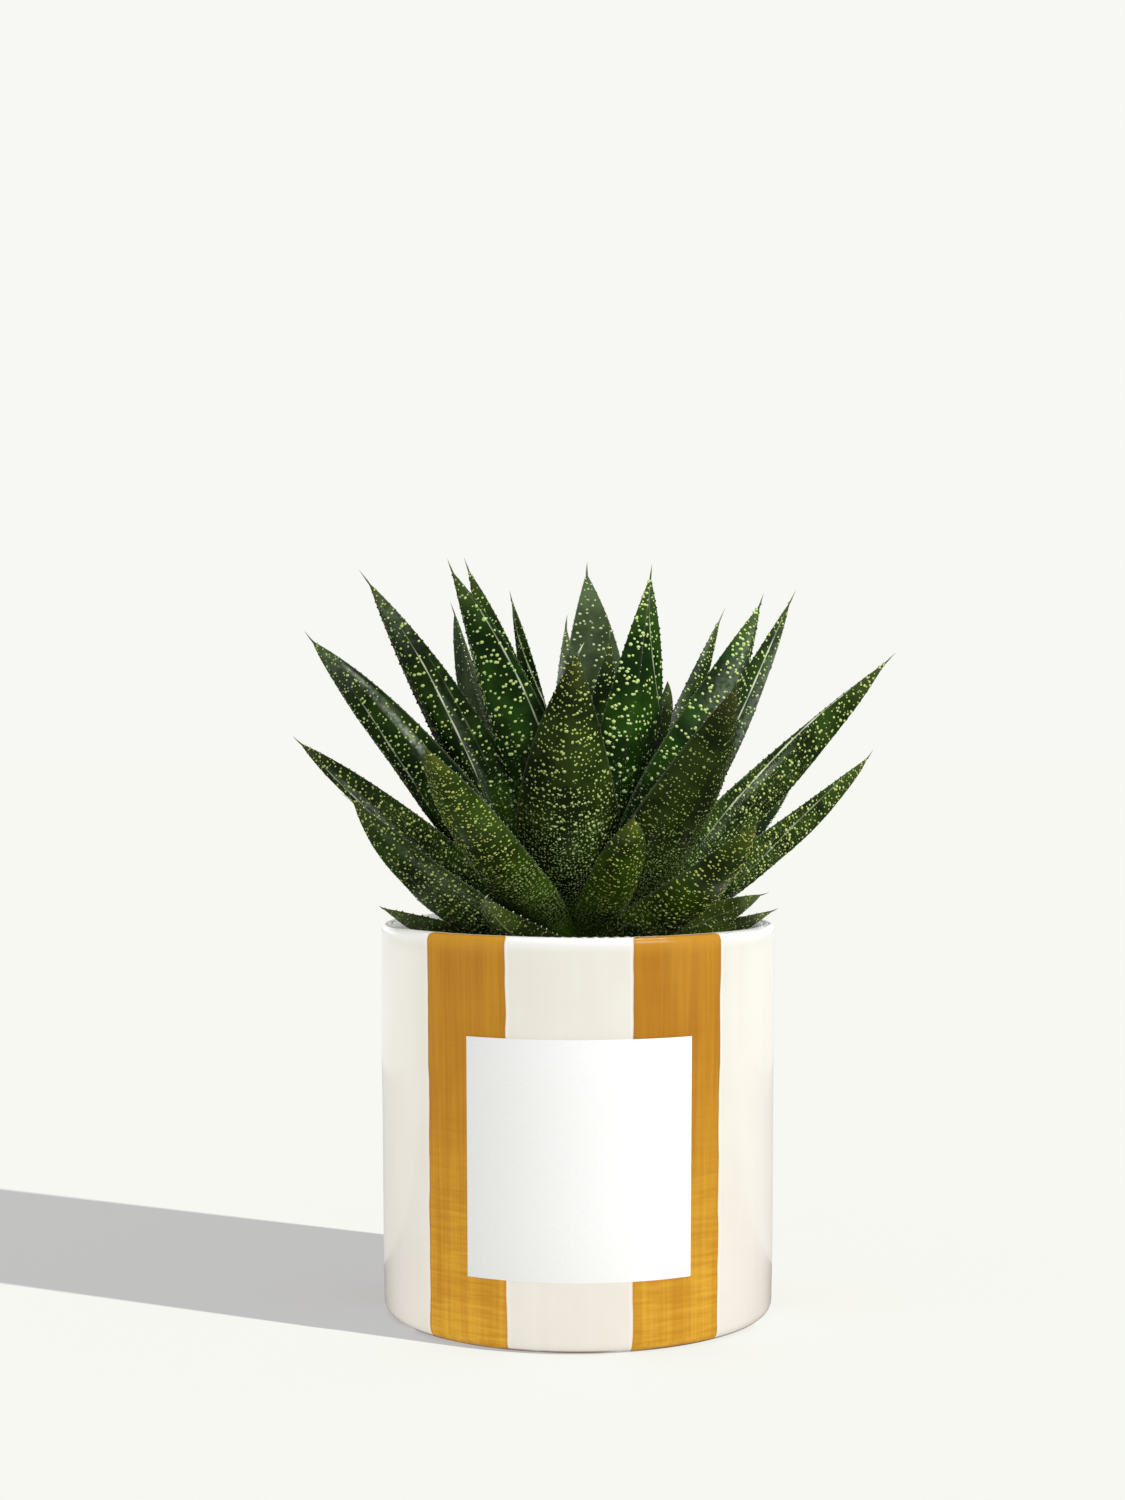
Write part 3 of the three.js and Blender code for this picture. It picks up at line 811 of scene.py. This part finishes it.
def spotRows(leaf, draw):  # where the raised spots stand: wavering cross rows, finer and closer near the base
    look, rules = leafLooks[leaf.get("look", "green")], spotRules
    length = leaf["reach"]
    fine = leaf.get("fine", 1)
    spots = []
    for lower in (True, False):
        seen = lower == (math.sin(math.radians(leaf["turn"])) < 0.75)
        spread = fine if seen else rules["hidden"] * fine
        place = rules["from"] * length
        while place < length * rules["to"]:
            t = place / length
            mid = float(ease(t, 0.1, 0.5))
            end = float(ease(t, 0.72, 0.96))
            width = leaf["width"] * float((1 - t**3.1) ** 0.95) * (1.2 if lower else 1)
            pitch = look["pitch"] * spread * (0.66 + 0.34 * mid - 0.25 * end)
            count = max(1, int(width / pitch))
            shift, phase = draw.uniform(0, 1), draw.uniform(0, 6)
            for i in range(count):
                clump = math.sin(place / 2.1 + 1.7 * math.sin(phase + 4 * i / count))
                if draw.uniform() > look["kept"] + look["clump"] * (clump - 0.4) * mid:
                    continue
                u = -1 + 2 * (i + shift) / count + draw.normal(0, look["loose"]) * 2 / count
                if abs(u) > 0.95 or (lower and abs(u) < 0.05 and t > 0.35):  # not on the margins or the keel
                    continue
                wander = draw.normal(0, look["loose"]) * pitch + (0.3 + 0.5 * mid) * math.sin(2.4 * u + phase)
                wander += 0.35 * mid * math.sin(7 * u + 3 * phase)
                wander += 0.1 * leaf["width"] * (u * u - 0.3) * mid * lower  # the rows sag in the middle
                size = math.exp(draw.normal(0, 0.17)) * math.sqrt(fine)
                long = (rules["small"] + (look["size"] - rules["small"]) * mid * (1 - 0.35 * end)) * size
                wide = long * draw.uniform(1.0, 1.4)
                pale = look["pale"] * leaf.get("dim", 1) * draw.uniform(0.75, 1.0)
                pale *= 0.85 + 0.15 * mid - 0.25 * end
                spots.append((t + wander / length, u, lower, long, wide, rules["height"] * long, pale))
            place += rules["rowGap"] * pitch * draw.uniform(0.85, 1.15)
    return spots


def toothRows(leaf, draw):  # pale teeth on both margins and on the keel
    length = leaf["reach"]
    teeth = []
    for u, lower, low, gap, share in toothRules["rows"]:
        if lower and leaf.get("round"):
            continue
        place = length * low + draw.uniform(0, 2)
        while place < length * 0.95:
            t = place / length
            growth = 0.5 + 0.5 * float(ease(t, 0.2, 0.5)) - 0.45 * float(ease(t, 0.8, 1))
            size = share * draw.uniform(0.7, 1.15) * growth
            shape = (way * size for way in toothRules["shape"])
            teeth.append((t, float(u), lower, *shape, toothRules["tone"]))
            place += gap * draw.uniform(0.65, 1.35)
    return teeth


def scatter(leaf, shape, items, mark):  # copies of one small shape, set on the skin
    corners, faces = shape
    t, u, lower, long, wide, tall, tone = (np.array(column) for column in zip(*items, strict=True))
    t = np.clip(t, 0.01, 0.985)
    skin = framesAt(leaf, t, u, lower.astype(bool))
    x, y, z = (corners[None, :, axis] * size[:, None] for axis, size in enumerate((wide, long, tall)))
    points = standOff(skin, x, y, z - spotRules["sunk"])
    marks = np.zeros((len(t), len(corners), 3))
    steep = 1.25 if shape is wart else 1.8  # the bead has no ring between its foot and its top
    marks[..., mark] = np.clip(corners[:, 2] * steep, 0, 2)[None] * tone[:, None]
    tris = faces[None] + (np.arange(len(t)) * len(corners))[:, None, None]
    return points, tris.reshape(-1, 3), marks.reshape(-1, 3), placesOf(leaf, t, u, len(corners))


def ridgeLine(leaf, low, high, start, stop, strength):  # a thin raised ridge on the underside, pale partly as horny tissue and partly as a painted highlight
    t = np.linspace(start, stop, ridgeRules["rings"])
    u = np.clip(low + (high - low) * (t - 0.4) / 0.5, -0.97, 0.97)
    swell = np.sin(np.linspace(0, math.pi, len(t))) ** 0.5 * (0.85 + 0.15 * np.sin(70 * t))
    x, z = (np.array([way]) * swell[:, None] for way in zip(*ridgeRules["ring"]))
    points = standOff(framesAt(leaf, t, u, np.full(len(t), True)), x, 0 * x, z)
    marks = np.zeros((len(t), 4, 3))
    marks[:, 3, 1] = strength * swell
    marks[:, :3, 1] = ridgeRules["sides"] * strength * swell[:, None]
    last = 4 * len(t) - 1
    faces = [[0, 1, 2, 3], [last, last - 1, last - 2, last - 3]]
    for row in range(len(t) - 1):
        for side in range(4):
            a, b = 4 * row + side, 4 * row + (side + 1) % 4
            faces.append([b, a, a + 4, b + 4])
    return points, np.array(faces), marks.reshape(-1, 3), placesOf(leaf, t, u, 4)


def makeLeaf(index, leaf, material):
    f = leafForm
    draw = np.random.default_rng(100 + index)
    stations = [(u, False) for u in acrossUpper] + [(s, True) for s in acrossLower]
    columns = len(stations)
    bpy.ops.mesh.primitive_uv_sphere_add(segments=columns, ring_count=f["rows"], radius=1)
    skin = bpy.context.object
    ball = np.array([v.co for v in skin.data.vertices])
    t = 1 - np.arccos(np.clip(ball[:, 2], -1, 1)) / math.pi
    column = np.rint(np.arctan2(ball[:, 1], ball[:, 0]) / (2 * math.pi) * columns).astype(int) % columns
    u = np.array([s[0] for s in stations], float)[column]
    lower = np.array([s[1] for s in stations])[column]
    ends = (t < 1e-4) | (t > 1 - 1e-4)
    u[ends], lower[ends] = 0, False
    points = skinAt(leaf, t, u, lower)
    marks = np.zeros((len(t), 3))  # spot, horny edge, painted sheen
    marks[:, 1] = np.where(~lower & (np.abs(u) > 0.99), 0.3 * ease(t, 0.15, 0.4), 0)
    horn = 1 if leaf.get("curl") else 0 if leaf.get("awn") == 0 else 0.4  # curled awns are pale and dry
    marks[:, 1] = np.maximum(marks[:, 1], ease(t, 0.955, 0.985) * horn)
    for low, high, half, start, stop, strength in leaf.get("wax", []):  # a band of painted sheen on the underside, standing for a broad highlight
        away = (u - low - (high - low) * (t - 0.4) / 0.5) / half
        length = ease(t, start - 0.06, start + 0.12) * (1 - ease(t, stop - 0.12, stop + 0.04))
        marks[:, 2] = np.maximum(marks[:, 2], np.where(lower, strength * length * np.exp(-away * away), 0))
    curl = np.clip((t - 0.94) / 0.06, 0, 1) ** 2  # the awn curls to one side
    bend = np.array([draw.uniform(-1, 1), draw.uniform(-1, 1), 0.2]) * leaf.get("curl", f["awnCurl"]) * 0.5
    points += curl[:, None] * bend
    faces = [list(p.vertices)[::-1] for p in skin.data.polygons]
    bpy.data.objects.remove(skin)
    spots = spotRows(leaf, draw)
    kinds = [
        (wart, [s for s in spots if s[3] > spotRules["beads"]], 0),
        (bead, [s for s in spots if s[3] <= spotRules["beads"]], 0),
        (bead, toothRows(leaf, draw), 1),
    ]
    groups = [scatter(leaf, *kind) for kind in kinds if kind[1]]
    groups += [ridgeLine(leaf, *line) for line in leaf.get("lines", [])]
    total = len(points)
    allPoints, allMarks, allPlaces = [points], [marks], [placesOf(leaf, t, u, 1)]
    for itsPoints, tris, itsMarks, itsPlaces in groups:
        faces.extend((tris + total).tolist())
        allPoints.append(itsPoints)
        allMarks.append(itsMarks)
        allPlaces.append(itsPlaces)
        total += len(itsPoints)
    mesh = bpy.data.meshes.new("leafSkin")
    mesh.from_pydata(np.concatenate(allPoints) * mm, [], faces)
    for name, values in (("leafMarks", allMarks), ("leafPlace", allPlaces)):
        attribute = mesh.attributes.new(name, "FLOAT_VECTOR", "POINT")
        attribute.data.foreach_set("vector", np.concatenate(values).ravel())
    mesh.materials.append(material)
    piece = bpy.data.objects.new(f"leafSkin{index:02d}", mesh)
    bpy.context.scene.collection.objects.link(piece)
    smoothShade(piece, 62)
    return piece


# colours, then the spots: gap, share kept, clumping, half length, looseness, paleness; and the fine ticks
leafLooks = {
    "green": dict(
        dark="#0d1c05", fresh="#1f3509", tip="#46532a", spot="#a2b668",
        pitch=1.75, kept=0.84, clump=0.15, size=0.42, loose=0.26, pale=1.0, ticks=0.4,
    ),
    "large": dict(
        dark="#0e2105", fresh="#1d3a09", tip="#4c5c30", spot="#a2b76c",
        pitch=1.85, kept=0.8, clump=0.3, size=0.52, loose=0.32, pale=1.0, ticks=0.4,
    ),
    "brown": dict(
        dark="#111b05", fresh="#26340c", tip="#3f401c", spot="#94a357",
        pitch=1.7, kept=0.93, clump=0.08, size=0.41, loose=0.22, pale=0.92, ticks=0.85,
    ),
    "olive": dict(
        dark="#192606", fresh="#33480d", tip="#5a5e22", spot="#a9b55e",
        pitch=1.6, kept=0.92, clump=0.1, size=0.42, loose=0.26, pale=0.98, ticks=1.0,
    ),
    "grey": dict(
        dark="#26321c", fresh="#3e4d2e", tip="#4b5a3c", spot="#94a776",
        pitch=2.2, kept=0.75, clump=0.3, size=0.5, loose=0.3, pale=0.8, ticks=0.3,
    ),
    # brighter skin and denser spots for the low outer leaves; the brighter skin is partly painted light that
    # makes up for the shade they stand in
    "outer": dict(
        dark="#132007", fresh="#293d10", tip="#4e582b", spot="#a6b468",
        pitch=1.45, kept=0.92, clump=0.1, size=0.41, loose=0.24, pale=1.0, ticks=0.5, far=0.85,
    ),
    "young": dict(
        dark="#25300f", fresh="#425220", tip="#5c6838", spot="#a3ae6c",
        pitch=1.3, kept=0.88, clump=0.1, size=0.32, loose=0.26, pale=0.95, ticks=0.55,
    ),
}
skinTones = {
    "sheath": "#4d7a12",  # where the leaf leaves the stem
    "lowSpot": "#93a96a",
    # painted sheen: a pale grey haze that stands for broad highlights on the skin
    "paintedSheen": "#b4bfae",
    "footShade": "#0b1404",  # painted shade round each spot's foot
    # horny margins, teeth and dry awns; on the ridge lines it also stands for a painted highlight
    "horn": "#c0c9ac",
}


# Gasteria skin: fleshy and waxy, dark, with raised pale spots, fine pale ticks near the base and horny edges;
# painted sheen bands, painted shade round each spot's foot, and pale ridges that carry a painted highlight.
def makeSkin(name):
    look, tones = leafLooks[name], skinTones
    material, add, shader = newMaterial(name + "GasteriaSkin")
    place = add("TexCoord")[3]
    spot, hornAndHighlight, wax = add("SeparateXYZ", add("Attribute", attribute_name="leafMarks")[1])
    across, along, run = add("SeparateXYZ", add("Attribute", attribute_name="leafPlace")[1])
    noises = ((90.0, 3.0), (650.0, 3.0), (160.0, 1.0))  # 11, 1.5 and 6 mm
    cloudy, flesh, wave = (add("TexNoise", place, *form)[0] for form in noises)

    # fine ticks in wavering cross rows, 0.95 mm across and 0.75 mm along, that fade out towards the middle
    sag = add("Math MULTIPLY", add("Math POWER", across, 2.0)[0], 0.013)[0]
    row = add("Math SUBTRACT", add("Math MULTIPLY_ADD", wave, 2.4, along)[0], sag)[0]
    cells = [add("Math MULTIPLY", way, fine)[0] for way, fine in ((across, 1.05), (row, 1.35))]
    cells = {"Vector": add("CombineXYZ", *cells)[0], "Scale": 1.0, "Randomness": 0.75}
    distance, chance = add("TexVoronoi", cells, voronoi_dimensions="2D")[:2]
    chance = add("SeparateXYZ", chance)[0]
    far = look.get("far", 0.62)
    tick = add("Math LESS_THAN", chance, add("MapRange", run, far, far - 0.35, 0.0, 0.65)[0])[0]
    tick = add("Math MULTIPLY", add("MapRange", distance, 0.36, 0.18)[0], tick)[0]

    # the flesh, then what lies over it
    colour = add("Mix", add("MapRange", cloudy, 0.35, 0.65)[0], look["dark"], look["fresh"])[0]
    pale = add("Mix", add("MapRange", run, 0.25, 0.6)[0], tones["lowSpot"], look["spot"])[0]
    foot = add("Math ABSOLUTE", add("Math SUBTRACT", spot, 0.2)[0])[0]
    raised = add("MapRange", spot, 0.22, 0.7)[0]
    layers = [
        (add("MapRange", run, 0.17, 0.03, 0.0, 0.7)[0], tones["sheath"]),
        (add("MapRange", run, 0.8, 1.0, 0.0, 0.7)[0], look["tip"]),
        (add("Math MULTIPLY", tick, 0.6 * look["ticks"])[0], pale),
        # painted sheen in bands where highlights fall
        (add("Math MULTIPLY", wax, add("MapRange", flesh, 0.3, 0.66, 0.25, 1.0)[0])[0], tones["paintedSheen"]),
        # painted shade round each spot's foot, where it meets the skin
        (add("MapRange", foot, 0.19, 0.08, 0.0, 0.75)[0], tones["footShade"]),
        (raised, pale),
        (add("MapRange", hornAndHighlight, 0.1, 1.0)[0], tones["horn"]),
    ]
    for share, tone in layers:
        colour = add("Mix", share, colour, tone)[0]
    rough = add("MapRange", flesh, 0.3, 0.7, 0.24, 0.33)[0]
    relief = add("Math MULTIPLY_ADD", tick, 0.9, add("Math MULTIPLY", flesh, 0.2)[0])[0]
    plug(shader, {
        "Base Color": colour,
        "Roughness": add("Math MULTIPLY_ADD", raised, -0.1, rough)[0],
        "IOR": 1.45,
        "Specular IOR Level": 0.31,
        "Normal": add("Bump", {"Height": relief, "Strength": 0.8, "Distance": 0.25 * mm})[0],
    })
    return material


skins = {name: makeSkin(name) for name in leafLooks}
leafPieces, triangles = [], 0
for index, leaf in enumerate(leaves, 1):
    piece = makeLeaf(index, leaf, skins[leaf.get("look", "green")])
    leafPieces.append(piece)
    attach(piece, "root")
    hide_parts(f"leaf_{index:02d}")
    triangles += sum(len(p.vertices) - 2 for p in piece.data.polygons)
print("leaves made:", len(leaves), "with", triangles, "triangles")


# --- floor, world and lights ---

studio = {
    "paper": "#f7f8f3",
    "floorTones": ("#7c7c7b", "#7d7d7c"),
    "floorGlow": 0.405,
    "bounce": 0.85,  # how much of the floor's light the plant and the pot get
    "air": "#f1f2f0",
    "fill": 0.75,
    "mirrored": 0.06,  # how bright the dark studio round the softboxes is in reflections
    "sunTurn": -28,
    "sunRise": 20,
    "sunWidth": 0.8,
    "sunStrength": 18,
    "sunColour": (0.978, 1, 0.893),
}


def dimmed(add, strength):  # the given strength, or nearly dark for reflections
    darker = studio["mirrored"] - strength
    return add("Math MULTIPLY_ADD", add("LightPath")[3], darker, strength)[0]


def makeFloor():
    bpy.ops.mesh.primitive_plane_add(size=60, location=(0, 0, -0.2 * mm))
    floor = settle(bpy.context.object, "paleFloor")
    material, add, shader = newMaterial("matPaperFloor")  # seamless studio paper, evenly lit
    weave = add("TexNoise", add("TexCoord")[3], 900.0, 2.0)[0]
    plug(shader, {
        "Base Color": add("Mix", weave, *studio["floorTones"])[0],
        "Roughness": 0.95,
        "Specular IOR Level": 0.0,
        "Emission Color": (1, 1, 1, 1),
        "Emission Strength": studio["floorGlow"],
    })
    dim = add("Emission", studio["paper"], dimmed(add, studio["bounce"]))[0]
    mixed = add("MixShader", add("LightPath")[0], dim, shader.outputs[0])[0]
    plug(material.node_tree.nodes["Material Output"], {"Surface": mixed})
    floor.data.materials.append(material)
    floor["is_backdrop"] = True
    return floor


def makeWorld():
    world = bpy.data.worlds.new("paleStudio")
    bpy.context.scene.world = world
    world.use_nodes = True
    add, nodes = partial(addNode, world.node_tree), world.node_tree.nodes
    fill = nodes["Background"]
    plug(fill, {"Color": studio["air"], "Strength": dimmed(add, studio["fill"])})
    backdrop = add("Background", studio["paper"], 1.0)[0]
    mixed = add("MixShader", add("LightPath")[0], fill.outputs[0], backdrop)[0]
    plug(nodes["World Output"], {"Surface": mixed})


def receivers(name, pieces):  # the pieces that a light falls on
    group = bpy.data.collections.new(name)
    for piece in pieces:
        group.objects.link(piece)
    return group


floor = makeFloor()
makeWorld()
potLit = receivers("potAndLabel", [pot, label])
potAlone = receivers("potAlone", [pot])
labelAlone = receivers("labelAlone", [label])
plantLit = receivers("plantAndSoil", [soil, stem] + leafPieces)
high, low = (0, 0, 0.12), (0, 0, 0.06)  # what the softboxes point at

# name, then place, target, width and height in metres, power, what it lights and kind: lightOnly has no
# reflection, mirrorOnly is a pale screen or floor that is only reflected, and the leaves don't darken rim
softboxes = [
    ("plantKey", (0.5, -0.55, 0.6), high, (0.35, 0.35), 9, plantLit, ""),
    ("plantTop", (-0.15, 0, 0.8), high, (0.5, 0.4), 4.2, plantLit, ""),
    ("potKey", (0.5, -0.55, 0.6), high, (0.35, 0.35), 1.1, potLit, "rim"),
    ("potTop", (0.1, 0.1, 0.8), high, (0.5, 0.4), 2.7, potLit, "rim"),
    ("broadBox", (-0.75, -0.45, 0.15), low, (0.4, 0.5), 1.6, potAlone, "rim lightOnly"),
    ("edgeScreen", (-0.36, 0.36, 0.12), high, (0.6, 0.24), 0.2, potLit, "mirrorOnly"),
    ("broadBox", (0.75, -0.45, 0.15), low, (0.4, 0.5), 2.2, potLit, "rim lightOnly"),
    ("edgeScreen", (0.36, 0.36, 0.12), high, (0.6, 0.24), 0.16, potLit, "mirrorOnly"),
    ("labelBox", (0.35, -0.8, 0.15), low, (0.4, 0.4), 0.65, labelAlone, "lightOnly"),
    ("floorMirror", (0, 1.2, 0.001), (0, 1.2, 1), (3, 2.3), 11, potLit, "mirrorOnly"),
    ("backScreen", (0, 0.7, 0.24), high, (1.6, 0.22), 1.0, potLit, "rim mirrorOnly"),
]
for name, place, target, size, power, lit, kind in softboxes:
    bpy.ops.object.light_add(type="AREA", location=place)
    box = bpy.context.object
    box.name = name
    box.data.shape = "RECTANGLE"
    box.data.size, box.data.size_y = size
    box.data.energy = power
    box.rotation_euler = (Vector(target) - Vector(place)).to_track_quat("-Z", "Y").to_euler()
    box.light_linking.receiver_collection = lit
    box.visible_glossy = "lightOnly" not in kind
    box.visible_diffuse = "mirrorOnly" not in kind
    if "rim" in kind:
        box.light_linking.blocker_collection = potAlone

bpy.ops.object.light_add(type="SUN", location=(1, -0.5, 0.5))
sun = bpy.context.object
sun.name = "floorSun"  # it only draws the long pale shadow on the floor
sun.data.energy = studio["sunStrength"]
sun.data.color = studio["sunColour"]
sun.data.angle = math.radians(studio["sunWidth"])
turn, rise = math.radians(studio["sunTurn"]), math.radians(studio["sunRise"])
towards = Vector((math.cos(rise) * math.cos(turn), math.cos(rise) * math.sin(turn), math.sin(rise)))
sun.rotation_euler = (-towards).to_track_quat("-Z", "Y").to_euler()
sun.light_linking.receiver_collection = receivers("floorOnly", [floor])
print("studio made")

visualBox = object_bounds()
sizes = {"cad": [list(corner) for corner in cadBox], "visual": [list(corner) for corner in visualBox]}
